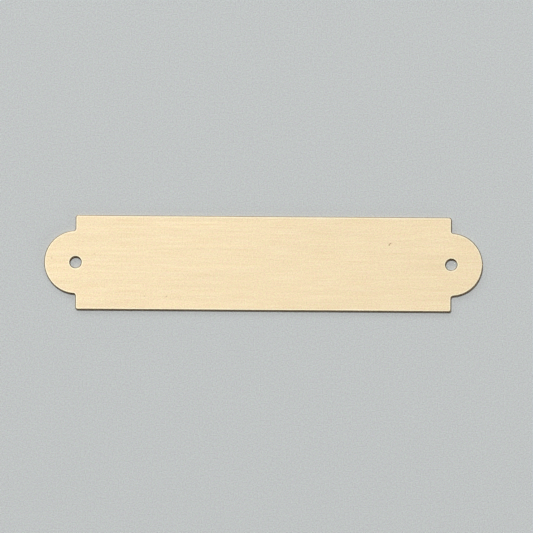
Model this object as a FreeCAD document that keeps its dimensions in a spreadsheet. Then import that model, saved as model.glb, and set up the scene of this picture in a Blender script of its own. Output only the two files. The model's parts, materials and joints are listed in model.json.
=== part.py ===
import FreeCAD, Part
import math
import os
import Sketcher

# Blank brass name plate: one flat piece of stamped sheet, a long rectangle with a half-round
# lug at each end. Each lug has a plain screw hole at the centre of its arc, so the square
# shoulders of the rectangle stand clear of the screws on either side.
#
# Frame, in millimetres: the origin is the centre of the back face. +X runs along the plate,
# +Y across it and +Z out of the brushed front face.

# Driving dimensions: alias, value in millimetres, what it is.
DIMENSIONS = [
    ("body_length", 76.2, "rectangle, from shoulder to shoulder, and from hole to hole"),
    ("body_width", 19.05, "rectangle, across the plate"),
    ("sheet_thickness", 0.8, "brass sheet"),
    ("lug_radius", 6.35, "half-round lug, centred on the end of the rectangle"),
    ("hole_diameter", 2.3, "plain hole for a small wood screw"),
    ("corner_radius", 0.5, "outer corners of the rectangle"),
    ("root_radius", 0.5, "inner corners where a lug leaves its shoulder"),
    ("rim_radius", 0.1, "front rims of the outline and both holes, rounded over"),
]

NODE = "name_plate"
TOLERANCE = 1e-4


def make_sheet(doc):
    """Put the driving dimensions in a spreadsheet, one aliased cell each."""
    sheet = doc.addObject("Spreadsheet::Sheet", "Dimensions")
    for row, (alias, value, meaning) in enumerate(DIMENSIONS, start=1):
        sheet.set(f"A{row}", alias)
        sheet.set(f"B{row}", str(value))
        sheet.set(f"C{row}", meaning)
        sheet.setAlias(f"B{row}", alias)
    doc.recompute()
    return sheet


def origin_plane(body, role):
    """Return one of the body's own origin planes by its role."""
    return next(item for item in body.Origin.OriginFeatures if item.Role == role)


def new_sketch(body, name):
    """Start a sketch on the body's back plane."""
    sketch = body.newObject("Sketcher::SketchObject", name)
    sketch.AttachmentSupport = [(origin_plane(body, "XY_Plane"), "")]
    sketch.MapMode = "FlatFace"
    return sketch


def bind(sketch, constraint, expression):
    """Add a dimension to the sketch and drive it from the spreadsheet."""
    index = sketch.addConstraint(constraint)
    sketch.setExpression(f"Constraints[{index}]", expression)


def draw_outline(body, sheet):
    """Outline with sharp corners: two long edges, four shoulders and two lug arcs."""
    half_length = sheet.body_length / 2
    half_width = sheet.body_width / 2
    radius = sheet.lug_radius
    sketch = new_sketch(body, "OutlineSketch")

    def line(x1, y1, x2, y2):
        start = FreeCAD.Vector(x1, y1, 0)
        end = FreeCAD.Vector(x2, y2, 0)
        return sketch.addGeometry(Part.LineSegment(start, end))

    def lug(x, side):
        """Half circle bulging away from the plate, drawn anticlockwise."""
        points = [(x, -side * radius), (x + side * radius, 0), (x, side * radius)]
        return sketch.addGeometry(Part.Arc(*[FreeCAD.Vector(px, py, 0) for px, py in points]))

    # Anticlockwise, from the lower right corner of the rectangle.
    right_low = line(half_length, -half_width, half_length, -radius)
    right_lug = lug(half_length, 1)
    right_high = line(half_length, radius, half_length, half_width)
    top = line(half_length, half_width, -half_length, half_width)
    left_high = line(-half_length, half_width, -half_length, radius)
    left_lug = lug(-half_length, -1)
    left_low = line(-half_length, -radius, -half_length, -half_width)
    bottom = line(-half_length, -half_width, half_length, -half_width)

    start, end, centre = 1, 2, 3
    x_axis, y_axis = -1, -2
    loop = [right_low, right_lug, right_high, top, left_high, left_lug, left_low, bottom]
    for here, following in zip(loop, loop[1:] + loop[:1]):
        sketch.addConstraint(Sketcher.Constraint("Coincident", here, end, following, start))
    for edge in (right_low, right_high, left_high, left_low):
        sketch.addConstraint(Sketcher.Constraint("Vertical", edge))
    for edge in (top, bottom):
        sketch.addConstraint(Sketcher.Constraint("Symmetric", edge, start, edge, end, y_axis))
    for arc in (right_lug, left_lug):
        sketch.addConstraint(Sketcher.Constraint("PointOnObject", arc, centre, x_axis))
        # The arc's centre lies on the shoulder line, so the lug is a full half circle.
        shoulder = right_low if arc == right_lug else left_low
        sketch.addConstraint(Sketcher.Constraint("PointOnObject", arc, centre, shoulder))
    sketch.addConstraint(Sketcher.Constraint("Equal", right_lug, left_lug))
    sketch.addConstraint(Sketcher.Constraint("Symmetric", top, start, bottom, end, x_axis))

    bind(sketch, Sketcher.Constraint("DistanceX", top, end, top, start, 2 * half_length),
         "Dimensions.body_length")
    bind(sketch, Sketcher.Constraint("DistanceY", right_low, start, right_high, end, 2 * half_width),
         "Dimensions.body_width")
    bind(sketch, Sketcher.Constraint("Radius", right_lug, radius), "Dimensions.lug_radius")
    return sketch


def draw_hole(body, sheet):
    """Circle of the right-hand screw hole, at the centre of its lug's arc."""
    sketch = new_sketch(body, "HoleSketch")
    middle = FreeCAD.Vector(sheet.body_length / 2, 0, 0)
    up = FreeCAD.Vector(0, 0, 1)
    circle = sketch.addGeometry(Part.Circle(middle, up, sheet.hole_diameter / 2))
    centre = 3
    origin, x_axis = -1, -1
    sketch.addConstraint(Sketcher.Constraint("PointOnObject", circle, centre, x_axis))
    bind(sketch, Sketcher.Constraint("DistanceX", origin, 1, circle, centre, middle.x),
         "Dimensions.body_length / 2")
    bind(sketch, Sketcher.Constraint("Diameter", circle, sheet.hole_diameter),
         "Dimensions.hole_diameter")
    return sketch


def edges_where(feature, test):
    """Names of the feature's edges that pass the test."""
    return [f"Edge{number}" for number, edge in enumerate(feature.Shape.Edges, start=1) if test(edge)]


def upright_at(x, y):
    """Test for the four upright edges that stand at (x, y) and its mirror images."""
    def test(edge):
        def stands_there(point):
            return abs(abs(point.x) - x) < TOLERANCE and abs(abs(point.y) - y) < TOLERANCE
        box = edge.BoundBox
        upright = max(box.XLength, box.YLength) < TOLERANCE
        return upright and all(stands_there(vertex.Point) for vertex in edge.Vertexes)
    return test


def level_at(z):
    """Test for the edges that lie in the plane at height z."""
    def test(edge):
        return all(abs(vertex.Point.z - z) < TOLERANCE for vertex in edge.Vertexes)
    return test


def add_fillet(body, name, base, edges, alias):
    """Round the named edges of the base feature by a radius from the spreadsheet."""
    fillet = body.newObject("PartDesign::Fillet", name)
    fillet.Base = (base, edges)
    fillet.setExpression("Radius", f"Dimensions.{alias}")
    body.Document.recompute()
    return fillet


def make_name_plate(doc, sheet):
    """Blank the sheet, punch both holes, then round the corners and the front rims."""
    body = doc.addObject("PartDesign::Body", "NamePlate")
    body.Label = NODE

    blank = body.newObject("PartDesign::Pad", "Blank")
    blank.Profile = draw_outline(body, sheet)
    blank.setExpression("Length", "Dimensions.sheet_thickness")
    doc.recompute()
    blank_volume = blank.Shape.Volume

    punch = body.newObject("PartDesign::Pocket", "ScrewHole")
    punch.Profile = draw_hole(body, sheet)
    punch.Type = "ThroughAll"
    punch.Reversed = True
    doc.recompute()

    both_holes = body.newObject("PartDesign::Mirrored", "BothScrewHoles")
    both_holes.Originals = [punch]
    both_holes.MirrorPlane = (origin_plane(body, "YZ_Plane"), [""])
    body.Tip = both_holes
    doc.recompute()
    hole_volume = math.pi / 4 * sheet.hole_diameter ** 2 * sheet.sheet_thickness
    removed = blank_volume - both_holes.Shape.Volume
    if abs(removed - 2 * hole_volume) > TOLERANCE * blank_volume:
        raise RuntimeError(f"The holes removed {removed} mm3, not {2 * hole_volume} mm3")

    shoulder_x = sheet.body_length / 2
    corner_edges = edges_where(both_holes, upright_at(shoulder_x, sheet.body_width / 2))
    corners = add_fillet(body, "OuterCorners", both_holes, corner_edges, "corner_radius")
    root_edges = edges_where(corners, upright_at(shoulder_x, sheet.lug_radius))
    roots = add_fillet(body, "LugRoots", corners, root_edges, "root_radius")
    rim_edges = edges_where(roots, level_at(sheet.sheet_thickness))
    rims = add_fillet(body, "FrontRims", roots, rim_edges, "rim_radius")
    body.Tip = rims
    doc.recompute()
    return body


def check_document(doc):
    """Stop if any object of the document failed to compute."""
    for item in doc.Objects:
        if {"Invalid", "Error"} & set(item.State):
            raise RuntimeError(f"{item.Name} did not compute: {item.State}")


def check_size(shape, sheet):
    """Stop if the finished plate isn't the size its dimensions call for."""
    box = shape.optimalBoundingBox()
    expected = [
        (box.XLength, sheet.body_length + 2 * sheet.lug_radius, "length"),
        (box.YLength, sheet.body_width, "width"),
        (box.ZLength, sheet.sheet_thickness, "thickness"),
        (box.ZMin, 0, "height of the back face"),
    ]
    for found, wanted, what in expected:
        if abs(found - wanted) > TOLERANCE:
            raise RuntimeError(f"The plate's {what} is {found} mm, not {wanted} mm")


def main():
    doc = FreeCAD.newDocument("NamePlate")
    sheet = make_sheet(doc)
    plate = make_name_plate(doc, sheet)
    check_document(doc)

    shape = plate.Shape
    if shape.isNull() or not shape.isValid() or len(shape.Solids) != 1:
        raise RuntimeError("The plate isn't one valid solid")
    check_size(shape, sheet)

    os.makedirs("parts", exist_ok=True)
    shape.exportStep(f"parts/{plate.Label}.step")
    print(f"{plate.Label}: {shape.Volume:.2f} mm3, {len(shape.Faces)} faces")


main()
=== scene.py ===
import json
import math
from functools import partial

import bmesh
import bpy
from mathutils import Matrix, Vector
from mathutils.geometry import delaunay_2d_cdt


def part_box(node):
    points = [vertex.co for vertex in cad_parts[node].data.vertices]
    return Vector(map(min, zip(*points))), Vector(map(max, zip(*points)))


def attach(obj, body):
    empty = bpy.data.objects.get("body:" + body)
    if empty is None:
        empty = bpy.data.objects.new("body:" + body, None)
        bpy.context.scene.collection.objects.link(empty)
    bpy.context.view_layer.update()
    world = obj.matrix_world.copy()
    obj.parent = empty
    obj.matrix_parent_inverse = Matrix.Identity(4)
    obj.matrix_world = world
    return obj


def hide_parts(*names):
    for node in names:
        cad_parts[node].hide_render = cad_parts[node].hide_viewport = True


# Blank brass name plate, lying on a sheet of pale paper under studio light.
# Everything is in metres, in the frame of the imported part: +X along the plate, +Z out of its face.

MM = 0.001
TOLERANCE = 0.001 * MM

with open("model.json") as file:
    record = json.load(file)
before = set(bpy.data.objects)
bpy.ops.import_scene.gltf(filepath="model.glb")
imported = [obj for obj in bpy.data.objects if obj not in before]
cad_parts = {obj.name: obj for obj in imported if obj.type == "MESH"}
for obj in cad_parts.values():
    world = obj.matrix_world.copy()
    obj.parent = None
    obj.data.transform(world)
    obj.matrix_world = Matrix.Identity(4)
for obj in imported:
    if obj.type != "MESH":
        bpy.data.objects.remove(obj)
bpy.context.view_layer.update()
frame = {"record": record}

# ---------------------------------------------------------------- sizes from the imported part

plate_low, plate_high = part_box("name_plate")
mounts = {mount["name"]: mount for mount in frame["record"]["mounts"]}
screw_holes = mounts["screw_holes"]["dims"]

THICKNESS = plate_high.z
HALF_WIDTH = plate_high.y
HALF_BODY = screw_holes["spacing_x_mm"] * MM / 2
LUG_RADIUS = plate_high.x - HALF_BODY
HOLE_RADIUS = screw_holes["hole_r_mm"] * MM

# Small roundings and details of the edge, which the record doesn't list.
CORNER_RADIUS = 0.50 * MM
ROOT_RADIUS = 0.50 * MM
ROLL_WIDTH = 0.16 * MM          # rolled front rim, seen from above
ROLL_DEPTH = 0.10 * MM          # the same rim, seen from the side
BACK_EDGE = 0.04 * MM           # slight rounding of the back edge
FLARE = 0.04 * MM               # the cut edge spreads this far outwards below the rolled rim
FRACTURE_INSET = 0.015 * MM     # the lower, broken part of the cut edge stands back a little
FRACTURE_TOP = 0.45             # height of the broken part, as a share of the thickness
RIM_START = 0.05                # the smooth rim, painted darker as shade, starts and ends this far below the face, as shares of ROLL_DEPTH
RIM_END = 0.29                  # as shares of ROLL_DEPTH
RIM_HIGHLIGHT_FADE = 4.5                 # how steeply the painted highlight fades from the rim into the face

# The net of vertices that fills both faces.
NET_PITCH = 1.0 * MM
NET_MARGIN = 0.9 * MM           # no net vertex is nearer to an edge than this
HOLE_SHARE = 0.999              # a face centred within this share of a hole's ring lies in the hole
KEEP_INNER_FACES = 1            # what delaunay_2d_cdt returns: the faces inside the outer ring
SAME_POINT = 1e-7               # how near two points count as one there


# ---------------------------------------------------------------- outline and rings

def arc(centre, radius, start, end, steps):
    """Points of an arc, both ends included; angles in radians."""
    points = []
    for i in range(steps + 1):
        angle = start + (end - start) * i / steps
        points.append((centre[0] + radius * math.cos(angle), centre[1] + radius * math.sin(angle)))
    return points


def straight(start, end, steps):
    """Evenly spaced points strictly between two points."""
    return [
        (start[0] + (end[0] - start[0]) * i / steps, start[1] + (end[1] - start[1]) * i / steps)
        for i in range(1, steps)
    ]


def outline(inset):
    """Closed outline of the plate, moved inwards by inset, anticlockwise from the right lug's tip."""
    root_y = math.sqrt((LUG_RADIUS + ROOT_RADIUS) ** 2 - ROOT_RADIUS ** 2)
    lug_end = math.atan2(root_y, ROOT_RADIUS)
    root_centre = (HALF_BODY + ROOT_RADIUS, root_y)
    corner_centre = (HALF_BODY - CORNER_RADIUS, HALF_WIDTH - CORNER_RADIUS)

    lug = arc((HALF_BODY, 0), LUG_RADIUS - inset, 0, lug_end, 72)
    root = arc(root_centre, ROOT_RADIUS + inset, lug_end + math.pi, math.pi, 12)
    corner = arc(corner_centre, CORNER_RADIUS - inset, 0, math.pi / 2, 12)
    middle = (0, HALF_WIDTH - inset)
    quarter = lug[:-1] + root + straight(root[-1], corner[0], 4) + corner
    quarter += straight(corner[-1], middle, 48) + [middle]

    half = quarter + [(-x, y) for x, y in reversed(quarter[:-1])]
    return half + [(x, -y) for x, y in reversed(half[1:-1])]


def hole_ring(centre_x, growth):
    """Rim of one screw hole, made wider by growth."""
    return arc((centre_x, 0), HOLE_RADIUS + growth, 0, 2 * math.pi, 96)[:-1]


def rolled_rim(width, depth, steps):
    """Section of a rolled rim as (inset, drop below the face), from the wall up to the face."""
    section = []
    for i in range(steps + 1):
        angle = math.pi / 2 * i / steps
        section.append((width * (1 - math.cos(angle)), depth * (1 - math.sin(angle))))
    return section


def edge_section():
    """Section of the cut edge as (inset, height), from the back face round to the front face."""
    back = [(BACK_EDGE + 0.1 * MM, 0)]
    back += [(inset, drop) for inset, drop in reversed(rolled_rim(BACK_EDGE, BACK_EDGE, 4))]
    broken = [
        (FRACTURE_INSET - FLARE, THICKNESS * 0.12),
        (FRACTURE_INSET - FLARE, THICKNESS * FRACTURE_TOP * 0.9),
        (-FLARE, THICKNESS * (FRACTURE_TOP + 0.05)),
    ]
    front = [(inset, THICKNESS - drop) for inset, drop in rolled_rim(ROLL_WIDTH, ROLL_DEPTH, 10)]
    flat = [(ROLL_WIDTH + step * MM, THICKNESS) for step in (0.06, 0.14, 0.22)]
    return back + broken + front + flat


# ---------------------------------------------------------------- the plate

FACE, RIM, EDGE, BACK = range(4)    # material slots of the plate


def slot_at(drop):
    """Material slot of the edge at a depth below the front face."""
    if drop > THICKNESS - TOLERANCE:
        return BACK
    if drop > ROLL_DEPTH * RIM_END:
        return EDGE
    if drop > ROLL_DEPTH * RIM_START:
        return RIM
    return FACE


def add_ring(mesh, points, height, painted_rim_highlight, layer):
    """Add one closed ring of vertices, each carrying the strength of the painted highlight along the rim
    there.
    """
    ring = []
    for x, y in points:
        vertex = mesh.verts.new((x, y, height))
        vertex[layer] = painted_rim_highlight
        ring.append(vertex)
    return ring


def bridge(mesh, lower, upper, slot):
    """Join two rings of the same number of vertices with quads."""
    count = len(lower)
    for i in range(count):
        j = (i + 1) % count
        face = mesh.faces.new((lower[i], lower[j], upper[j], upper[i]))
        face.material_index = slot


def wall(mesh, ring_at, section, layer):
    """Build a cut edge from its section and return its back and front rings."""
    innermost = section[-1][0]
    rings = []
    for inset, height in section:
        on_face = height > THICKNESS - TOLERANCE
        # painted highlight: strongest at the rim, fading into the face, none off the face
        painted_rim_highlight = min(1.0, RIM_HIGHLIGHT_FADE * (1 - inset / innermost)) if on_face else 0.0
        rings.append(add_ring(mesh, ring_at(inset), height, painted_rim_highlight, layer))
    heights = [height for _, height in section]
    for i in range(len(rings) - 1):
        drop = THICKNESS - (heights[i] + heights[i + 1]) / 2
        bridge(mesh, rings[i], rings[i + 1], slot_at(drop))
    return rings[0], rings[-1]


def inside(x, y, margin):
    """Whether a point lies on the plate, at least margin from any edge."""
    in_body = abs(x) < HALF_BODY - margin and abs(y) < HALF_WIDTH - margin
    from_hole = math.hypot(abs(x) - HALF_BODY, y)
    in_lug = from_hole < LUG_RADIUS - margin
    return (in_body or in_lug) and from_hole > HOLE_RADIUS + margin


def fill(mesh, rings, inset, height, slot, layer):
    """Fill the area between the outer ring and the hole rings, all set in by inset, with a net."""
    verts = []
    edges = []
    for ring in rings:
        first = len(verts)
        verts += ring
        count = len(ring)
        edges += [(first + i, first + (i + 1) % count) for i in range(count)]
    columns = int(plate_high.x / NET_PITCH)
    rows = int(HALF_WIDTH / NET_PITCH)
    for column in range(-columns, columns + 1):
        for row in range(-rows, rows + 1):
            x, y = column * NET_PITCH, row * NET_PITCH
            if inside(x, y, NET_MARGIN):
                vertex = mesh.verts.new((x, y, height))
                vertex[layer] = 0.0
                verts.append(vertex)
    flat = [Vector((vertex.co.x, vertex.co.y)) for vertex in verts]
    _, _, faces, sources, _, _ = delaunay_2d_cdt(flat, edges, [], KEEP_INNER_FACES, SAME_POINT)
    made = []
    for face in faces:
        corners = [verts[sources[index][0]] for index in face]
        middle = sum((corner.co for corner in corners), Vector()) / len(corners)
        if math.hypot(abs(middle.x) - HALF_BODY, middle.y) < HOLE_SHARE * (HOLE_RADIUS + inset):
            continue
        new_face = mesh.faces.new(corners)
        new_face.material_index = slot
        made.append(new_face)
    bmesh.ops.join_triangles(
        mesh, faces=made, angle_face_threshold=0.1, angle_shape_threshold=0.7, cmp_materials=True
    )


def build_plate():
    """The whole plate as one closed mesh: faces, cut edges, rolled rims and both holes."""
    mesh = bmesh.new()
    # per-vertex strength of the painted highlight along the rims
    layer = mesh.verts.layers.float.new("painted_rim_highlight")
    section = edge_section()
    back_rings, front_rings = [], []
    for ring_at in (outline, partial(hole_ring, -HALF_BODY), partial(hole_ring, HALF_BODY)):
        back, front = wall(mesh, ring_at, section, layer)
        back_rings.append(back)
        front_rings.append(front)
    fill(mesh, back_rings, section[0][0], 0.0, BACK, layer)
    fill(mesh, front_rings, section[-1][0], THICKNESS, FACE, layer)
    bmesh.ops.recalc_face_normals(mesh, faces=mesh.faces)
    for face in mesh.faces:
        face.smooth = True
    data = bpy.data.meshes.new("name_plate_mesh")
    mesh.to_mesh(data)
    mesh.free()
    plate = bpy.data.objects.new("brass_name_plate", data)
    bpy.context.scene.collection.objects.link(plate)
    return plate


# ---------------------------------------------------------------- materials

BRASS = (0.929, 0.803, 0.566)
PAPER = (0.767, 0.822, 0.834)


class Nodes:
    """Short names for building a material's node tree."""

    def __init__(self, name):
        self.material = bpy.data.materials.new(name)
        self.material.use_nodes = True
        self.tree = self.material.node_tree
        self.shader = self.tree.nodes["Principled BSDF"]

    def new(self, kind, **settings):
        node = self.tree.nodes.new(kind)
        for key, value in settings.items():
            setattr(node, key, value)
        return node

    def link(self, source, target):
        self.tree.links.new(source, target)

    def noise(self, scale, detail=2.0, output="Fac"):
        """Noise in object space, in cells per metre along X, Y and Z."""
        place = self.new("ShaderNodeTexCoord")
        mapping = self.new("ShaderNodeMapping")
        mapping.inputs["Scale"].default_value = scale
        texture = self.new("ShaderNodeTexNoise")
        texture.inputs["Scale"].default_value = 1.0
        texture.inputs["Detail"].default_value = detail
        self.link(place.outputs["Object"], mapping.inputs["Vector"])
        self.link(mapping.outputs["Vector"], texture.inputs["Vector"])
        return texture.outputs[output]

    def math(self, operation, first, second):
        """A math node; each operand is a socket or a number."""
        node = self.new("ShaderNodeMath", operation=operation)
        for socket, value in zip(node.inputs, (first, second)):
            if isinstance(value, (int, float)):
                socket.default_value = value
            else:
                self.link(value, socket)
        return node.outputs[0]

    def spread(self, noise, amount):
        """Turn noise about 0.5 into a value about 0, this far either side."""
        return self.math("MULTIPLY", self.math("SUBTRACT", noise, 0.5), amount)

    def times(self, first, second):
        """Multiply two colours; the first may be a constant."""
        mix = self.new("ShaderNodeMix", data_type="RGBA", blend_type="MULTIPLY")
        mix.inputs["Factor"].default_value = 1.0
        if isinstance(first, tuple):
            mix.inputs["A"].default_value = (*first, 1.0)
        else:
            self.link(first, mix.inputs["A"])
        self.link(second, mix.inputs["B"])
        return mix.outputs["Result"]

    def tinted(self, colour, factor, weights=(1.0, 1.0, 1.0)):
        """A colour times a changing factor, whose distance from 1 is weighted for each channel."""
        grey = self.new("ShaderNodeCombineXYZ")
        for axis in "XYZ":
            self.link(factor, grey.inputs[axis])
        weighted = self.new("ShaderNodeVectorMath", operation="MULTIPLY_ADD")
        self.link(grey.outputs["Vector"], weighted.inputs[0])
        weighted.inputs[1].default_value = weights
        weighted.inputs[2].default_value = [1 - weight for weight in weights]
        return self.times(colour, weighted.outputs["Vector"])

    def speckled(self, colour, scale, amount):
        """Give a colour fine grain whose channels vary on their own, this far either side."""
        spread = self.new("ShaderNodeVectorMath", operation="MULTIPLY_ADD")
        self.link(self.noise(scale, detail=1.0, output="Color"), spread.inputs[0])
        spread.inputs[1].default_value = [amount] * 3
        spread.inputs[2].default_value = [1 - amount / 2] * 3
        return self.times(colour, spread.outputs["Vector"])

    def spot(self, centre, size, slant=0.0):
        """A soft-edged mark: 1 at its centre, 0 outside an ellipse turned by slant degrees."""
        place = self.new("ShaderNodeTexCoord")
        mapping = self.new("ShaderNodeMapping", vector_type="TEXTURE")
        mapping.inputs["Location"].default_value = (*centre, THICKNESS)
        mapping.inputs["Rotation"].default_value = (0, 0, math.radians(slant))
        mapping.inputs["Scale"].default_value = (*size, MM)
        far = self.new("ShaderNodeVectorMath", operation="LENGTH")
        self.link(place.outputs["Object"], mapping.inputs["Vector"])
        self.link(mapping.outputs["Vector"], far.inputs[0])
        node = self.new("ShaderNodeMath", operation="SUBTRACT", use_clamp=True)
        node.inputs[0].default_value = 1.0
        self.link(far.outputs["Value"], node.inputs[1])
        return node.outputs[0]

    def bump(self, height, distance, strength=1.0):
        node = self.new("ShaderNodeBump")
        node.inputs["Strength"].default_value = strength
        node.inputs["Distance"].default_value = distance
        self.link(height, node.inputs["Height"])
        self.link(node.outputs["Normal"], self.shader.inputs["Normal"])

    def brush_lengthwise(self):
        """Brush lines along X: the highlight stretches along Y, across them."""
        across = self.new("ShaderNodeCombineXYZ")
        across.inputs["Y"].default_value = 1.0
        self.link(across.outputs["Vector"], self.shader.inputs["Tangent"])


# Small marks on the face: place, half length and half width in mm, slant in degrees, strength.
MARKS = [
    ((25.49, 3.93), (0.30, 0.15), 64, 0.85),      # a short curved nick, in two strokes
    ((25.72, 4.20), (0.28, 0.14), 15, 0.75),
    ((-24.1, -6.8), (0.22, 0.20), 0, 0.30),       # specks
    ((-19.6, -6.8), (0.22, 0.20), 0, 0.36),
    ((-34.3, 1.7), (0.20, 0.22), 0, 0.28),
    ((-43.0, 0.8), (0.20, 0.20), 0, 0.34),
]


def brushed_brass():
    """Front face: satin brass with fine lengthwise hairlines, with a painted highlight along its rims.
    """
    nodes = Nodes("brushed_brass")
    hairline = nodes.noise((130, 7000, 1), detail=1.0)
    streak = nodes.noise((40, 2400, 1), detail=2.0)
    band = nodes.noise((14, 260, 1), detail=1.0)
    grain = nodes.noise((3800, 4200, 1), detail=1.0)

    factor = nodes.math("ADD", nodes.spread(hairline, 0.22), nodes.spread(streak, 0.05))
    factor = nodes.math("ADD", factor, nodes.spread(band, 0.02))
    factor = nodes.math("ADD", factor, nodes.spread(grain, 0.31))
    # painted highlight: the face colour is made up to 15 % brighter near its rims
    painted_rim_highlight = nodes.new("ShaderNodeAttribute", attribute_name="painted_rim_highlight").outputs["Fac"]
    factor = nodes.math("ADD", factor, nodes.math("MULTIPLY", painted_rim_highlight, 0.15))
    factor = nodes.math("ADD", factor, 1.0)
    colour = nodes.tinted(BRASS, factor, weights=(0.55, 1.05, 1.9))
    colour = nodes.speckled(colour, (3800, 4200, 1), 0.24)
    clean = 1.0
    for (x, y), (length, width), slant, strength in MARKS:
        mark = nodes.spot((x * MM, y * MM), (length * MM, width * MM), slant)
        clean = nodes.math("SUBTRACT", clean, nodes.math("MULTIPLY", mark, strength))
    nodes.link(nodes.tinted(colour, clean, weights=(0.85, 1.0, 1.15)), nodes.shader.inputs["Base Color"])

    roughness = nodes.math("ADD", nodes.spread(streak, 0.10), 0.640)
    nodes.link(roughness, nodes.shader.inputs["Roughness"])
    nodes.bump(nodes.math("ADD", hairline, streak), 0.001 * MM, 0.5)
    nodes.brush_lengthwise()
    nodes.shader.inputs["Metallic"].default_value = 1.0
    nodes.shader.inputs["Anisotropic"].default_value = 0.77
    return nodes.material


def rim_painted_dark():
    """Rolled front rim: pressed smooth by the blanking tool, so that it mirrors the dim room; its colour
    is also painted dark, about a quarter of the brass, as shade along the edges.
    """
    nodes = Nodes("rim_brass_painted_dark")
    dents = nodes.noise((1500, 1500, 1500), detail=2.0)
    # painted shade: the rim's brass colour is darkened to about a quarter
    factor = nodes.math("ADD", nodes.spread(dents, 0.10), 0.27)
    nodes.link(nodes.tinted(BRASS, factor), nodes.shader.inputs["Base Color"])
    nodes.link(nodes.math("ADD", nodes.spread(dents, 0.1), 0.42), nodes.shader.inputs["Roughness"])
    nodes.brush_lengthwise()
    nodes.shader.inputs["Metallic"].default_value = 1.0
    nodes.shader.inputs["Anisotropic"].default_value = 0.6
    return nodes.material


def cut_edge():
    """Cut edge: sheared and tarnished brown, rougher where the metal broke."""
    nodes = Nodes("cut_brass_edge")
    tears = nodes.noise((9000, 9000, 500), detail=2.0)
    factor = nodes.math("ADD", nodes.spread(tears, 0.5), 0.8)
    nodes.link(nodes.tinted((0.62, 0.43, 0.22), factor), nodes.shader.inputs["Base Color"])
    nodes.link(nodes.math("ADD", nodes.spread(tears, 0.3), 0.42), nodes.shader.inputs["Roughness"])
    nodes.bump(tears, 0.004 * MM, 0.6)
    nodes.shader.inputs["Metallic"].default_value = 1.0
    return nodes.material


def mill_back():
    """Back face: plain rolled sheet, slightly dull, with faint rolling lines."""
    nodes = Nodes("mill_brass_back")
    rolling = nodes.noise((30, 1100, 1), detail=3.0)
    clouds = nodes.noise((180, 180, 1), detail=3.0)
    factor = nodes.math("ADD", nodes.spread(rolling, 0.10), nodes.spread(clouds, 0.16))
    factor = nodes.math("ADD", factor, 0.92)
    nodes.link(nodes.tinted(BRASS, factor), nodes.shader.inputs["Base Color"])
    nodes.link(nodes.math("ADD", nodes.spread(clouds, 0.16), 0.36), nodes.shader.inputs["Roughness"])
    nodes.bump(rolling, 0.002 * MM, 0.4)
    nodes.shader.inputs["Metallic"].default_value = 1.0
    return nodes.material


def paper():
    """Pale paper with a fine grain."""
    nodes = Nodes("pale_paper")
    grain = nodes.noise((3900, 4100, 1), detail=1.0)
    clouds = nodes.noise((120, 120, 1), detail=2.0)
    factor = nodes.math("ADD", nodes.spread(grain, 0.53), nodes.spread(clouds, 0.02))
    factor = nodes.math("ADD", factor, 1.0)
    colour = nodes.speckled(nodes.tinted(PAPER, factor), (4100, 3900, 1), 0.18)
    nodes.link(colour, nodes.shader.inputs["Base Color"])
    nodes.shader.inputs["Roughness"].default_value = 0.95
    nodes.shader.inputs["Specular IOR Level"].default_value = 0.1
    return nodes.material


# ---------------------------------------------------------------- studio

FLOOR_RADIUS = 3.2
SWEEP_HEIGHT = 0.55


def build_floor():
    """A flat round floor whose rim sweeps up into a low backdrop on every side."""
    mesh = bmesh.new()
    rings = []
    steps = 16
    radii = [(FLOOR_RADIUS * 0.9, 0.0), (FLOOR_RADIUS, 0.0)]
    for i in range(1, steps + 1):
        angle = math.pi / 2 * i / steps
        radii.append((FLOOR_RADIUS + 0.9 * math.sin(angle), SWEEP_HEIGHT * (1 - math.cos(angle))))
    for radius, height in radii:
        ring = [mesh.verts.new((x, y, height)) for x, y in arc((0, 0), radius, 0, 2 * math.pi, 96)[:-1]]
        rings.append(ring)
    mesh.faces.new(rings[0])
    for inner, outer in zip(rings[:-1], rings[1:]):
        bridge(mesh, outer, inner, 0)
    for face in mesh.faces:
        face.smooth = True
    data = bpy.data.meshes.new("paper_floor_mesh")
    mesh.to_mesh(data)
    mesh.free()
    floor = bpy.data.objects.new("paper_floor", data)
    bpy.context.scene.collection.objects.link(floor)
    data.materials.append(paper())
    return floor


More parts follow.
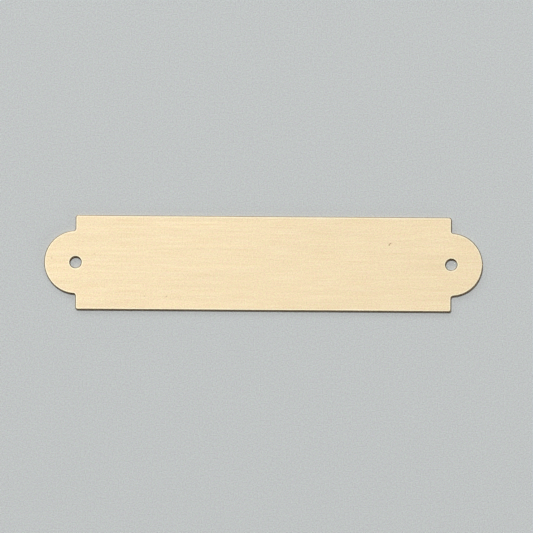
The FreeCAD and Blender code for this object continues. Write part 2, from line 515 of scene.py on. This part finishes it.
def aim(thing, place, target):
    """Put a light or camera somewhere and turn it towards a point."""
    thing.location = place
    thing.rotation_euler = (Vector(target) - Vector(place)).to_track_quat("-Z", "Y").to_euler()


def area_light(name, place, size, power):
    """A rectangular soft light that shines at the plate."""
    data = bpy.data.lights.new(name, "AREA")
    data.shape = "RECTANGLE"
    data.size, data.size_y = size
    data.energy = power
    light = bpy.data.objects.new(name, data)
    bpy.context.scene.collection.objects.link(light)
    aim(light, place, (0, 0, 0))
    return light


def studio_light():
    """A compact key high above the top edge and to its left, soft lights round it, a dim surround.

    The two low side lights keep the brass bright when it is seen at a slant.
    """
    area_light("key", (-0.60, 1.96, 4.20), (0.55, 0.55), 121)
    area_light("overhead", (0.15, 0.0, 3.20), (1.3, 1.3), 1.0)
    area_light("fill", (0.2, 2.1, 1.25), (1.8, 0.7), 7.0)
    area_light("left_side", (-2.0, 2.0, 1.30), (1.6, 1.0), 10.5)
    area_light("right_side", (2.0, -2.0, 0.85), (1.6, 1.0), 11.5)
    world = bpy.data.worlds.new("surround")
    world.use_nodes = True
    background = world.node_tree.nodes["Background"]
    background.inputs["Color"].default_value = (1.0, 0.60, 0.36, 1.0)
    background.inputs["Strength"].default_value = 0.050
    bpy.context.scene.world = world


FIELD = 108.08 * MM             # width of the view at the plate's face
LENS = 900                      # a very long lens, so that the plate shows no perspective
SENSOR = 36
ROLL = math.radians(0.407)      # the plate lies very slightly askew in the view
VIEW_CENTRE = (0.63 * MM, -0.61 * MM)


def build_camera():
    """A camera straight above the plate, looking down."""
    data = bpy.data.cameras.new("camera")
    data.lens = LENS
    data.sensor_width = SENSOR
    camera = bpy.data.objects.new("camera", data)
    bpy.context.scene.collection.objects.link(camera)
    camera.location = (*VIEW_CENTRE, THICKNESS + FIELD * LENS / SENSOR)
    camera.rotation_euler = (0, 0, ROLL)
    bpy.context.scene.camera = camera


# ---------------------------------------------------------------- put together

plate = build_plate()
for finish in (brushed_brass(), rim_painted_dark(), cut_edge(), mill_back()):
    plate.data.materials.append(finish)
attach(plate, "root")
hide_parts("name_plate")

build_floor()
studio_light()
build_camera()
bpy.context.scene.view_settings.view_transform = "Standard"
